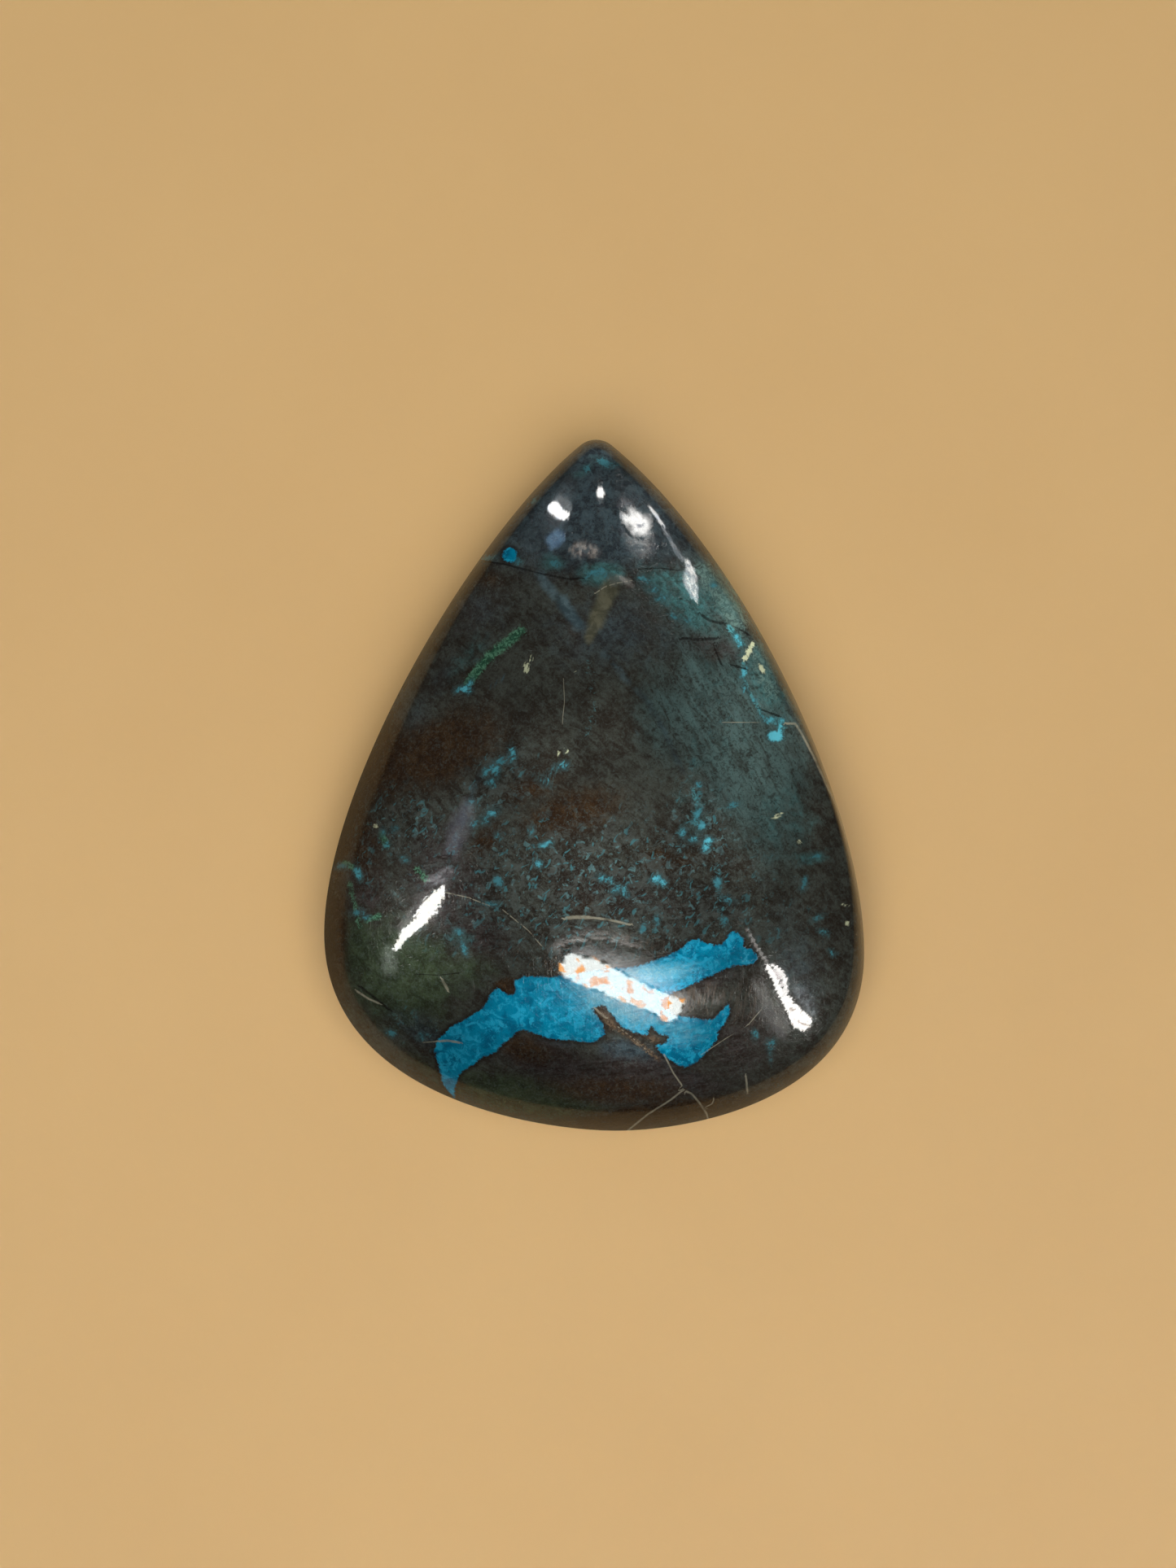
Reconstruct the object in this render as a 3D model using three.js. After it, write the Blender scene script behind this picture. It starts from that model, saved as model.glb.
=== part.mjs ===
// A polished azurite stone, cut as a pear-shaped cabochon: a flat back, a low wall up to the
// girdle, a steep shoulder above it that eases into the domed crown, and soft ridges that run to
// the tip and to both heels.
// Millimetres, +Z up. The back lies on z = 0, +Y points to the tip, and the origin is on the
// back, below the middle of the outline's box.

import * as THREE from 'three';

// Outline, seen from above
const length = 56; // tip to heel
const width = 43.8; // across the widest part
const tipRadius = 2.0;
const tipOffset = 0.15; // the tip leans this far towards +X
const flankAngle = THREE.MathUtils.degToRad(39); // each flank leaves the tip at this angle to the X axis
const right = { widestY: -13.6, flankPull: 13.6, upperPull: 12.2, heelPull: 12.3 };
const left = { widestY: -12.0, flankPull: 10.8, upperPull: 12.0, heelPull: 13.3 };
const heel = { lowestX: 1.8, rightPull: 5.4, leftPull: 6.3 };

// Heights
const girdleHeight = 4.7; // the widest level, above the back
const shoulderRise = 1.4; // from the girdle to where the crown begins
const shoulderPower = 2; // more makes the shoulder start steeper and ease off sooner
const crownRise = 6.4; // from there to the top
const crownPower = 2.2; // 2 is a plain parabola, and more is flatter on top
const backShare = 0.94; // size of the flat back, as a share of the outline

// Width of the shoulder: tight at the tip, broad at the heel, and tighter on the +X side
const shoulder = { tip: 1.3, heel: 3.2, sideLean: 1.5 };

// The crown's highest point, and how far its level lines soften on their way up to it
const top = new THREE.Vector2(0, -6);
const softening = 0.13; // share of the outline that is averaged each way, next to the top
const softeningSamples = 4; // on each side

// Mesh steps
const stepsAround = 112;
const tipCrowding = 0.65; // draws the steps together around the tip, and 0 spaces them evenly
const crownSteps = 26;
const edgeSteps = 4; // from the back to the girdle
const outlineSteps = 720; // for measuring the distance to the outline

function makeOutline() {
  const halfWidth = width / 2;
  const halfLength = length / 2;
  const tipCentre = new THREE.Vector2(tipOffset, halfLength - tipRadius);
  const along = new THREE.Vector2(Math.cos(flankAngle), Math.sin(flankAngle));
  const startX = tipCentre.x - tipRadius * along.y;
  const endX = tipCentre.x + tipRadius * along.y;
  const flankY = tipCentre.y + tipRadius * along.x;

  const path = new THREE.Path();
  path.absarc(tipCentre.x, tipCentre.y, tipRadius, Math.PI / 2 + flankAngle, Math.PI / 2 - flankAngle, true);
  path.bezierCurveTo(
    endX + right.flankPull * along.x, flankY - right.flankPull * along.y,
    halfWidth, right.widestY + right.upperPull,
    halfWidth, right.widestY,
  );
  path.bezierCurveTo(
    halfWidth, right.widestY - right.heelPull,
    heel.lowestX + heel.rightPull, -halfLength,
    heel.lowestX, -halfLength,
  );
  path.bezierCurveTo(
    heel.lowestX - heel.leftPull, -halfLength,
    -halfWidth, left.widestY - left.heelPull,
    -halfWidth, left.widestY,
  );
  path.bezierCurveTo(
    -halfWidth, left.widestY + left.upperPull,
    startX - left.flankPull * along.x, flankY - left.flankPull * along.y,
    startX, flankY,
  );
  return path;
}

const outline = makeOutline();
const outlinePoints = outline.getSpacedPoints(outlineSteps);

// Distance from a point inside the outline to its nearest edge.
function distanceToOutline(point) {
  let nearest = Infinity;
  const edge = new THREE.Vector2();
  const reach = new THREE.Vector2();
  for (let i = 1; i < outlinePoints.length; i++) {
    edge.subVectors(outlinePoints[i], outlinePoints[i - 1]);
    reach.subVectors(point, outlinePoints[i - 1]);
    const share = THREE.MathUtils.clamp(reach.dot(edge) / edge.lengthSq(), 0, 1);
    nearest = Math.min(nearest, reach.addScaledVector(edge, -share).length());
  }
  return nearest;
}

// A point of the level line that is `size` times the outline, rounder the nearer it is to the top.
function levelLine(turn, size) {
  const mean = new THREE.Vector2();
  const spread = softening * (1 - size);
  for (let i = -softeningSamples; i <= softeningSamples; i++) {
    const place = turn + (spread * i) / softeningSamples;
    mean.add(outline.getPointAt(place - Math.floor(place)));
  }
  mean.divideScalar(2 * softeningSamples + 1);
  return mean.sub(top).multiplyScalar(size).add(top);
}

function shoulderWidth(point) {
  const direction = point.clone().sub(top).normalize();
  const towardsHeel = (1 - direction.y) / 2;
  const straight = THREE.MathUtils.lerp(shoulder.tip, shoulder.heel, towardsHeel);
  return straight - shoulder.sideLean * direction.x ** 3;
}

function crownHeight(point, size) {
  const share = Math.min(distanceToOutline(point) / shoulderWidth(point), 1);
  const easing = 1 - (1 - share) ** shoulderPower;
  return girdleHeight + shoulderRise * easing + crownRise * (1 - size ** crownPower);
}

// Half of the stone's section as (size, height): along the back, up to the girdle and over the crown.
function makeProfile() {
  const profile = [new THREE.Vector2(0, 0)];
  for (let i = 0; i <= edgeSteps; i++) {
    const angle = ((i / edgeSteps) * Math.PI) / 2;
    const size = backShare + (1 - backShare) * Math.sin(angle);
    profile.push(new THREE.Vector2(size, girdleHeight * (1 - Math.cos(angle))));
  }
  for (let i = 1; i <= crownSteps; i++) {
    const angle = ((i / crownSteps) * Math.PI) / 2;
    const size = i === crownSteps ? 0 : Math.cos(angle);
    profile.push(new THREE.Vector2(size, girdleHeight + (shoulderRise + crownRise) * Math.sin(angle)));
  }
  return profile;
}

// Turns the round lathe form of unit radius into the stone, one vertex at a time.
function makeStoneGeometry() {
  const geometry = new THREE.LatheGeometry(makeProfile(), stepsAround);
  geometry.rotateX(Math.PI / 2);
  const position = geometry.getAttribute('position');
  for (let i = 0; i < position.count; i++) {
    const size = Math.hypot(position.getX(i), position.getY(i));
    const angle = Math.atan2(position.getX(i), position.getY(i));
    const turn = (angle - tipCrowding * Math.sin(angle)) / (2 * Math.PI);
    const height = position.getZ(i);
    const point = size > 0 ? levelLine(turn, Math.min(size, 1)) : top.clone();
    const raised = height > girdleHeight ? crownHeight(point, size) : height;
    position.setXYZ(i, point.x, point.y, raised);
  }
  geometry.computeVertexNormals();
  return geometry;
}

function makeStone() {
  const material = new THREE.MeshStandardMaterial({
    color: new THREE.Color(0x2c3a40),
    roughness: 0.15,
    metalness: 0,
  });
  const stone = new THREE.Mesh(makeStoneGeometry(), material);
  stone.name = 'azurite_stone';
  return stone;
}

const cabochon = new THREE.Group();
cabochon.add(makeStone());

export default cabochon;
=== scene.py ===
import math
import bpy
import numpy as np
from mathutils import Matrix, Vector
from mathutils.bvhtree import BVHTree


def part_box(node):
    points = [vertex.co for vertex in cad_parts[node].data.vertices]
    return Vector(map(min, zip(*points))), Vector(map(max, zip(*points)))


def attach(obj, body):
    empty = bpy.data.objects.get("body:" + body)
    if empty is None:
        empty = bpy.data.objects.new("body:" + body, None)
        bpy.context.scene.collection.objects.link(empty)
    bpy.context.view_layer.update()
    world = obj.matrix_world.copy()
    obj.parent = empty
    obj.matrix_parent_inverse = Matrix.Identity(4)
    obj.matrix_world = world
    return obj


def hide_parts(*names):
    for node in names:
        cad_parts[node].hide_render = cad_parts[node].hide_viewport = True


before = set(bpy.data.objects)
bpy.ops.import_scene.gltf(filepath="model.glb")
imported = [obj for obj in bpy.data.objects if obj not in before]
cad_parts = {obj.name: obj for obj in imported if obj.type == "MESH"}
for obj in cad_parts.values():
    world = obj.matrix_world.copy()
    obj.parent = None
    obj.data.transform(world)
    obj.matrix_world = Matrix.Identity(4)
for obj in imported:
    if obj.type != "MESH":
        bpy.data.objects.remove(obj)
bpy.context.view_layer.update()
mm = 0.001
tiny = 1e-6  # slack for rounding, and what keeps a division from failing
print("frame loaded")


# The viewpoint is straight above the stone. Sizes are in mm.
viewpoint = {
    "x": -0.5,
    "y": 0.1,
    "height": 181.2,  # of the lens, above the table
    "lens": 50,
    "sensor": 36,
    "nearest": 10,  # what is closer to the lens isn't drawn
}


def eyePoint():
    return Vector((viewpoint["x"], viewpoint["y"], viewpoint["height"])) * mm


def makeCamera():
    camera = bpy.data.cameras.new("overhead")
    camera.lens = viewpoint["lens"]
    camera.sensor_width = viewpoint["sensor"]
    camera.clip_start = viewpoint["nearest"] * mm
    holder = bpy.data.objects.new("overhead", camera)
    holder.location = eyePoint()
    bpy.context.collection.objects.link(holder)
    bpy.context.scene.camera = holder
    bpy.context.scene.view_settings.view_transform = "Standard"
    print("camera set")


makeCamera()


# The stone is one polished solid. Its outline and heights are those of the CAD solid, on a finer
# mesh with no pole in the crown, so that reflections run clean. Sizes are in mm.
stone = {
    "tipRadius": 2.0,
    "tipLean": 0.15,
    "flankAngle": math.radians(39),
    "right": {"widestY": -13.6, "flankPull": 13.6, "upperPull": 12.2, "heelPull": 12.3},
    "left": {"widestY": -12.0, "flankPull": 10.8, "upperPull": 12.0, "heelPull": 13.3},
    "heel": {"lowestX": 1.8, "rightPull": 5.4, "leftPull": 6.3},
    "girdleHeight": 4.7,
    "shoulderRise": 1.4,
    "shoulderPower": 2.0,
    "crownRise": 6.4,
    "crownPower": 2.2,
    "backShare": 0.94,  # size of the flat back, as a share of the outline
    "shoulderTip": 1.3,
    "shoulderHeel": 3.2,
    "shoulderLean": 1.5,
    "top": (0.0, -6.0),
    "softening": 0.13,  # share of the outline that a level line averages each way, next to the top
    "softenedFrom": 25,  # places
    "tipPoints": 60,
    "edgePoints": 721,  # of the outline, where distances to it are measured
    "gridCuts": 200,  # faces along each side of the crown's grid
    "wallCuts": 9,
    "waviness": 0.035,  # how far the hand-held polish leaves the true curve
    "wavinessPower": 6,  # the higher, the nearer to the girdle the waves run
    "waves": [  # rate along x, rate along y, phase, share
        (0.55, 0.21, 0.7, 1.0), (-0.24, 0.62, 2.1, 1.0), (1.13, -0.72, 1.9, 0.35), (0.52, 1.21, 0.3, 0.35),
    ],
}


def bezierRun(start, startPull, endPull, end, steps=400):
    t = np.linspace(0, 1, steps)[:, None]
    points = (1 - t) ** 3 * start + 3 * (1 - t) ** 2 * t * (start + startPull)
    return points + 3 * (1 - t) * t ** 2 * (end + endPull) + t ** 3 * end


def outlineRun():
    low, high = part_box("azurite_stone")
    halfWidth = (high.x - low.x) / 2 / mm
    halfLength = (high.y - low.y) / 2 / mm
    right, left, heel = stone["right"], stone["left"], stone["heel"]
    rightmost = np.array([halfWidth, right["widestY"]])
    leftmost = np.array([-halfWidth, left["widestY"]])
    lowest = np.array([heel["lowestX"], -halfLength])
    across, up = np.array([1, 0]), np.array([0, 1])

    angle, radius = stone["flankAngle"], stone["tipRadius"]
    turns = np.linspace(math.pi / 2 + angle, math.pi / 2 - angle, stone["tipPoints"])
    centre = np.array([stone["tipLean"], halfLength - radius])
    tip = centre + radius * np.column_stack([np.cos(turns), np.sin(turns)])
    tipLeft, tipRight = tip[0], tip[-1]
    flank = np.array([math.cos(angle), -math.sin(angle)])  # down the right flank
    runs = [
        (tipRight, right["flankPull"] * flank, right["upperPull"] * up, rightmost),
        (rightmost, -right["heelPull"] * up, heel["rightPull"] * across, lowest),
        (lowest, -heel["leftPull"] * across, -left["heelPull"] * up, leftmost),
        (leftmost, left["upperPull"] * up, left["flankPull"] * flank * (-1, 1), tipLeft),
    ]
    return np.concatenate([tip] + [bezierRun(*run)[1:] for run in runs])


outline = outlineRun()
outlineReach = np.concatenate([[0], np.cumsum(np.hypot(*np.diff(outline, axis=0).T))])
outlineReach /= outlineReach[-1]


def outlineAt(turn):  # points of the outline at these shares of the way round it
    turn = turn % 1
    return np.stack([np.interp(turn, outlineReach, outline[:, k]) for k in (0, 1)], axis=-1)


def levelPoint(turn, size):  # as in the solid: level lines are rounder the nearer they are to the top
    spread = stone["softening"] * (1 - size)
    places = turn[:, None] + spread[:, None] * np.linspace(-1, 1, stone["softenedFrom"])
    top = np.array(stone["top"])
    return (outlineAt(places).mean(axis=1) - top) * size[:, None] + top


# Distance of each point to each segment of a line, and the side that the point is on.
def segmentDistance(points, line):
    start, run = line[:-1], np.diff(line, axis=0)
    away = points[:, None, :] - start[None]
    share = np.clip((away * run).sum(-1) / np.maximum((run ** 2).sum(-1), tiny), 0, 1)
    distance = np.hypot(*np.moveaxis(away - share[..., None] * run, -1, 0))
    side = np.sign(run[:, 0] * away[..., 1] - run[:, 1] * away[..., 0])
    return distance, side


def edgeDistance(points):
    sparse = outlineAt(np.linspace(0, 1, stone["edgePoints"]))
    handful = 2000  # points at a time, to spare memory
    parts = np.array_split(points, max(1, len(points) // handful))
    return np.concatenate([segmentDistance(part, sparse)[0].min(axis=1) for part in parts])


def crownHeight(points, size):
    heading = points - np.array(stone["top"])
    heading /= np.maximum(np.hypot(heading[:, 0], heading[:, 1]), tiny)[:, None]
    towardsHeel = (1 - heading[:, 1]) / 2
    width = stone["shoulderTip"] + (stone["shoulderHeel"] - stone["shoulderTip"]) * towardsHeel
    width -= stone["shoulderLean"] * heading[:, 0] ** 3
    share = np.clip(edgeDistance(points) / width, 0, 1)
    easing = 1 - (1 - share) ** stone["shoulderPower"]
    crown = stone["crownRise"] * (1 - size ** stone["crownPower"])
    return stone["girdleHeight"] + stone["shoulderRise"] * easing + crown


def polishWaves(points):
    total = np.zeros(len(points))
    for rateX, rateY, phase, share in stone["waves"]:
        total += share * np.sin(rateX * points[:, 0] + rateY * points[:, 1] + phase)
    return total / sum(share for *_, share in stone["waves"])


def vertexArray(mesh):
    values = np.empty(len(mesh.vertices) * 3)
    mesh.vertices.foreach_get("co", values)
    return values.reshape(-1, 3)


def addSquarePillow():  # a square grid above, the same below and a wall between: closed, with no pole
    cuts = stone["gridCuts"]
    bpy.ops.object.select_all(action="DESELECT")
    bpy.ops.mesh.primitive_grid_add(x_subdivisions=cuts, y_subdivisions=cuts, size=2, location=(0, 0, 0))
    pillow = bpy.context.object
    bpy.ops.object.mode_set(mode="EDIT")
    bpy.ops.mesh.select_mode(type="EDGE")
    bpy.ops.mesh.select_all(action="SELECT")
    bpy.ops.mesh.duplicate()
    bpy.ops.mesh.flip_normals()
    bpy.ops.transform.translate(value=(0, 0, -1))
    bpy.ops.mesh.select_all(action="DESELECT")
    bpy.ops.mesh.select_non_manifold()
    bpy.ops.mesh.bridge_edge_loops(number_cuts=stone["wallCuts"])
    bpy.ops.mesh.select_all(action="SELECT")
    bpy.ops.mesh.normals_make_consistent(inside=False)
    bpy.ops.object.mode_set(mode="OBJECT")
    return pillow


def squareToDisc(places):  # turn and size for each place of the square grid
    a, b = places[:, 0], places[:, 1]
    wide = np.abs(a) >= np.abs(b)
    size = np.where(wide, a, b)
    ratio = np.where(wide, b, a) / np.where(np.abs(size) < tiny, 1, size)
    angle = np.where(wide, math.pi / 4 * ratio, math.pi / 2 - math.pi / 4 * ratio)
    angle = np.where(size < 0, angle + math.pi, angle)
    return (0.25 - angle / (2 * math.pi)) % 1, np.abs(size)


def shapeStone(pillow):
    low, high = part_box("azurite_stone")
    places = vertexArray(pillow.data)
    turn, reach = squareToDisc(places)
    level = places[:, 2]
    crown, back = level > -tiny, level < -1 + tiny
    wall = ~crown & ~back
    quarter = (1 + level[wall]) * math.pi / 2  # from the back's edge up to the girdle

    size = np.sin(reach * math.pi / 2)  # draws the rows together towards the steep edge
    size[crown & (reach > 1 - tiny)] = 1
    size[wall] = stone["backShare"] + (1 - stone["backShare"]) * np.sin(quarter)
    size[back] = stone["backShare"] * reach[back]
    points = levelPoint(turn, size)

    height = np.zeros(len(places))
    height[crown] = crownHeight(points[crown], size[crown])
    wavy = stone["waviness"] * (1 - size[crown] ** stone["wavinessPower"])
    height[crown] += wavy * polishWaves(points[crown])
    height[wall] = stone["girdleHeight"] * (1 - np.cos(quarter))
    height *= (high.z / mm) / height.max()
    points[:, 1] *= min(1, (high.y / mm) / points[:, 1].max())  # the solid's facets end just short of the tip
    pillow.data.vertices.foreach_set("co", (np.column_stack([points, height]) * mm).ravel())
    pillow.data.update()


def makeStone():
    body = addSquarePillow()
    body.name = "azurite_cabochon"
    body.data.name = "azurite_cabochon"
    shapeStone(body)
    bpy.ops.object.shade_smooth()
    print("stone shaped,", len(body.data.polygons), "faces")
    return body


cabochon = makeStone()


# The markings are colour inside the stone, with painted light and shade among them. Their places
# are in mm, as they show from the viewpoint at the level of the girdle.
markings = {
    "azuriteBand": [
        (-11.3, -25.4), (-12.3, -24.2), (-12.6, -22.8), (-13, -21.5), (-12.7, -20.7), (-11.7, -19.6),
        (-10.2, -18.8), (-9, -18), (-8.4, -16.9), (-7.9, -16.4), (-7.2, -16.8), (-6.6, -17.1),
        (-6.3, -16.5), (-6.6, -15.9), (-5.7, -15.5), (-4.2, -15.5), (-3.1, -15.5), (-0.9, -15.1),
        (1.5, -14.8), (3.3, -14.7), (4.9, -14.2), (6.3, -13.6), (7.1, -13.2), (7.7, -12.6), (8.5, -12.4),
        (9, -12.8), (10, -13), (10.6, -12.7), (10.9, -12), (11.5, -11.8), (12.1, -12.4), (12.1, -13.1),
        (12.8, -13.3), (13.3, -13.9), (13.2, -14.3), (12.5, -14.6), (11.4, -14.6), (10.2, -15.1),
        (8.9, -15.7), (7.5, -16.4), (6.3, -16.8), (5.9, -17.6), (6.2, -18.5), (6.9, -18.7), (8.4, -18.9),
        (9.6, -19), (10.2, -18.4), (10.9, -17.6), (11.1, -18), (10.8, -19), (10, -20), (10, -20.5),
        (9.3, -21.5), (8.4, -22.4), (7.4, -22.9), (6.5, -22.5), (5.5, -21.9), (4.9, -21), (5.7, -21),
        (6.1, -20.4), (5.3, -20.2), (4.4, -19.4), (4.4, -20.3), (3.3, -20.1), (2.2, -19.6), (1.3, -18.4),
        (0.7, -17.8), (-0.2, -18.2), (0.7, -19.3), (0.9, -20.3), (-0.2, -20.9), (-1.8, -20.7),
        (-3.6, -20.6), (-4.9, -20.1), (-5.9, -19.8), (-6.5, -20.3), (-7.3, -20.9), (-8, -21.7), (-9, -22),
        (-9.6, -22.5), (-10.9, -23.4), (-11.3, -24.6),
    ],
    "azuriteDot": {"x": -6.85, "y": 18.65, "radius": 0.62},
    # blue flecks: x, y, width, height, how bright
    "flecks": [
        (-6.3, 18.2, 0.7, 0.6, 0), (-8.6, 18.4, 0.9, 0.4, 0), (0.7, 26.2, 1.3, 0.5, 0),
        (-0.6, 25.7, 0.6, 0.4, 0), (1.6, 26, 0.6, 0.3, 0), (-7.6, 22, 0.9, 0.5, 0),
        (-4.9, 23.1, 0.5, 0.3, 0), (-3.2, 18, 0.8, 0.5, 0), (0, 17.2, 0.7, 0.4, 0.2),
        (0.6, 17.4, 0.5, 0.5, 0.1), (1, 17, 0.5, 0.3, 0), (-0.6, 16.9, 0.4, 0.3, 0),
        (4, 16.7, 0.9, 0.3, 0.2), (4.9, 15.8, 0.7, 0.5, 0.3), (5.5, 15.2, 0.9, 0.3, 0.2),
        (6.6, 13.6, 0.8, 0.3, 0.2), (7.4, 13.3, 0.5, 0.3, 0.1), (9.6, 16.2, 0.5, 0.4, 0.1),
        (-10.4, 7.8, 0.9, 0.6, 1), (-11, 7.75, 0.7, 0.5, 0.7), (-10, 8.3, 0.3, 0.5, 0.5),
        (-6.6, 2.3, 0.45, 1.1, 0.6), (-8, 1.3, 0.5, 1, 0.5), (-8.8, 1.1, 0.4, 0.6, 0.3),
        (-7.5, 2, 0.4, 0.5, 0.1), (-8.4, 0.2, 0.6, 0.5, 0.3), (-2.4, 1.7, 0.7, 0.5, 0.6),
        (-3.2, 1.3, 0.6, 0.3, 0), (-4.1, 0.3, 1.2, 0.5, 0.4), (-10, -1.4, 0.5, 0.5, 0.1),
        (-8.2, -2.2, 0.9, 0.5, 0.7), (-9, -2.9, 0.7, 0.4, 0.6), (-9.8, -3.1, 0.5, 0.6, 0.4),
        (-7.9, -4, 0.4, 0.4, 0.1), (-5.1, -3.7, 0.4, 0.6, 0.1), (-3.9, -4.8, 0.9, 0.5, 0.5),
        (-4.5, -6.4, 0.6, 0.6, 0.5), (-7.8, -7.8, 0.5, 0.7, 0.1), (-8.5, -9.6, 0.9, 0.3, 0.3),
        (0.9, -7.6, 1, 0.45, 0.5), (2, -8.4, 1, 0.5, 0.6), (2.5, -8.8, 0.6, 0.4, 0.4),
        (5, -7.6, 0.9, 0.6, 1), (5.6, -7.9, 0.6, 0.6, 0.9), (8.4, -2.4, 0.4, 0.9, 0.3),
        (8.7, -3.3, 0.7, 0.5, 0.5), (7.2, -3.8, 0.5, 0.8, 0.4), (8, -4.4, 0.6, 0.5, 0.5),
        (9.2, -4.5, 0.8, 0.5, 0.9), (9, -5, 0.5, 0.7, 0.8), (11.3, -1.6, 0.8, 0.4, 0.3),
        (10, -7.9, 0.5, 0.7, 0.3), (10.9, -9.3, 0.8, 0.4, 0.4), (10.6, -11, 0.4, 0.6, 0.1),
        (4, -11.6, 0.5, 0.7, 0), (5.1, -10.7, 0.3, 0.7, 0), (-10.6, -13.2, 0.4, 0.9, 0.5),
        (-10.9, -11.9, 0.6, 0.5, 0.1), (-19.1, -7.2, 0.4, 1.1, 0.6), (-17.1, -3.8, 0.4, 0.5, 0.2),
        (-16.1, -3.5, 0.4, 0.4, 0.1), (-16.8, -4.8, 0.4, 0.4, 0.1), (-15.4, -6, 0.5, 0.3, 0.1),
        (-20.4, -6.6, 0.7, 0.4, 0), (-19.1, -10.3, 0.7, 0.3, 0), (-18.5, -10.7, 0.5, 0.3, 0),
        (-14, -20.3, 0.5, 0.4, 0.1), (-16.5, -20.1, 0.6, 0.5, 0), (11.5, 12, 0.5, 0.6, 0.8),
        (11.8, 11.5, 0.4, 0.7, 0.7), (12.1, 9.1, 0.4, 0.9, 0.7), (12.2, 7.9, 0.35, 0.6, 0.5),
        (12.9, 6.9, 0.4, 0.4, 0.3), (13.6, 5.6, 0.5, 0.4, 0.3), (14.2, 5.3, 0.8, 0.4, 0.5),
        (15.1, 4.9, 0.5, 0.9, 0.7), (14.7, 4, 1.25, 1, 1), (15, 4.3, 0.6, 0.6, 0.9),
        (8.5, 0, 0.5, 0.4, 0.2), (18.2, -10.7, 0.6, 0.25, 0.2), (18.6, -11.9, 0.5, 0.3, 0.1),
        (17, -8, 0.3, 0.7, 0), (17.8, -5.8, 0.9, 0.25, 0.1), (19.3, -13.6, 0.5, 0.3, 0.2),
        (13, -20.2, 0.3, 0.5, 0.1), (14.2, -21.4, 0.25, 0.8, 0.1), (14.45, -20.9, 0.25, 0.4, 0.1),
    ],
    # x, y, width, height
    "creamSpecks": [
        (-5.5, 9.5, 0.5, 0.85), (-5.05, 10.4, 0.35, 0.45), (-3, 11.7, 0.3, 0.3), (-2.3, 2.8, 0.5, 0.4),
        (-2.9, 2.6, 0.3, 0.5), (-17.7, -3.3, 0.4, 0.3), (13.6, 9.4, 0.35, 0.9), (12.8, 11.4, 0.36, 0.5),
        (12.66, 11.05, 0.34, 0.6), (12.45, 10.7, 0.34, 0.6), (12.26, 10.3, 0.44, 0.5),
        (14.8, -2.5, 0.9, 0.25), (16.6, -4.6, 0.4, 0.3), (20.3, -9.7, 0.6, 0.2), (20.5, -11.2, 0.4, 0.35),
        (-1.6, 9.3, 0.3, 0.2),
    ],
    # thin lines: half width, then the points
    "paleVeins": [
        (0.07, [(5.7, -21.9), (6.4, -23.3), (7.1, -24.3), (7.2, -24.7)]),
        (0.08, [(7.2, -24.7), (6.2, -25.5), (4.3, -26.7), (2.7, -28)]),
        (0.09, [(7.2, -24.7), (7.9, -25), (8.5, -25.7), (9.1, -26.6), (9.5, -28)]),
        (0.05, [(9, -26.1), (9.6, -25.8), (9.7, -25.4)]),
        (0.09, [(0.1, -18.1), (0.5, -18.5), (0.9, -18.8)]),
        (0.035, [(1.7, -19.4), (3, -20.4), (4.4, -21.6)]),
        (0.05, [(-7.4, -10.1), (-5.3, -11.8), (-4.2, -13.1)]),
        (0.16, [(-2.2, -10.75), (-1.4, -10.7), (-0.4, -10.7)]),
        (0.1, [(-0.4, -10.7), (1.2, -10.9), (2.9, -11.3)]),
        (0.1, [(-12.6, -20.75), (-11.8, -20.7), (-10.9, -20.85)]),
        (0.05, [(-13.8, -20.85), (-13.2, -20.8), (-12.6, -20.75)]),
        (0.09, [(12.3, -23.6), (12.35, -24.1), (12.4, -24.8)]),
        (0.04, [(13.6, -18.1), (12.5, -19.4), (10.7, -20.5), (8.6, -21.9)]),
        (0.1, [(15.6, 5), (16.3, 5), (16.8, 4.2), (17.7, 2.5), (19.5, -1.4), (20.6, -4.9)]),
        (0.035, [(10.4, 5.1), (13.5, 5.1)]), (0.09, [(-19.2, -16.7), (-18.3, -17.3), (-17.4, -17.7)]),
        (0.12, [(-12.3, -15.8), (-11.9, -16.5)]), (0.05, [(-12, -8.7), (-10.2, -9.1), (-8.4, -9.8)]),
        (0.05, [(0, 15.5), (0.9, 16.1), (1.9, 16.4), (3.1, 16.6)]),
        (0.03, [(-2.5, 8.8), (-2.4, 6.8), (-2.6, 5)]),
    ],
    "darkVeins": [
        (0.09, [(-9.1, 18.2), (-7.2, 17.9), (-4.1, 17.1), (-2, 16.7), (-0.9, 16.8)]),
        (0.06, [(3.4, 17.5), (5.4, 17.6), (6.9, 17.4)]), (0.14, [(7.2, 11.9), (8.4, 11.8), (9.9, 11.9)]),
        (0.14, [(8.7, 13.8), (9.4, 13.3), (10.4, 13.1)]), (0.1, [(11.5, 12.8), (12.5, 12.2)]),
        (0.1, [(11.3, 9.7), (12.3, 9.4)]), (0.1, [(9.8, 11), (10.3, 9.8)]),
        (0.1, [(13.4, 6.2), (14.9, 5.6)]), (0.12, [(-19, -16.3), (-17.8, -17.2), (-16.6, -18.2)]),
        (0.045, [(-14.6, -15.3), (-12.6, -15.4), (-10.8, -15.2)]),
    ],
    # where the whole stone is paler, and where it is darker: x, y, half width, half height, turn
    # in degrees, strength. Partly the rock's own tone and partly painted light and shade: paler where
    # light, glare and the table's reflection fell on it, darker on slopes and rims as painted shade
    "paleToneAndPaintedLight": [
        (0.5, -5.5, 6.5, 6.5, 0, 1.15), (12, 4, 3, 7, 16, 0.9), (8, 8, 4, 6, 0, 0.55),
        (11.4, 12.8, 2.4, 3.4, 35, 1.6), (8, 17.2, 2.6, 2.4, -30, 1.1), (1, 12.6, 6.5, 3.6, 0, 0.55),
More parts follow.
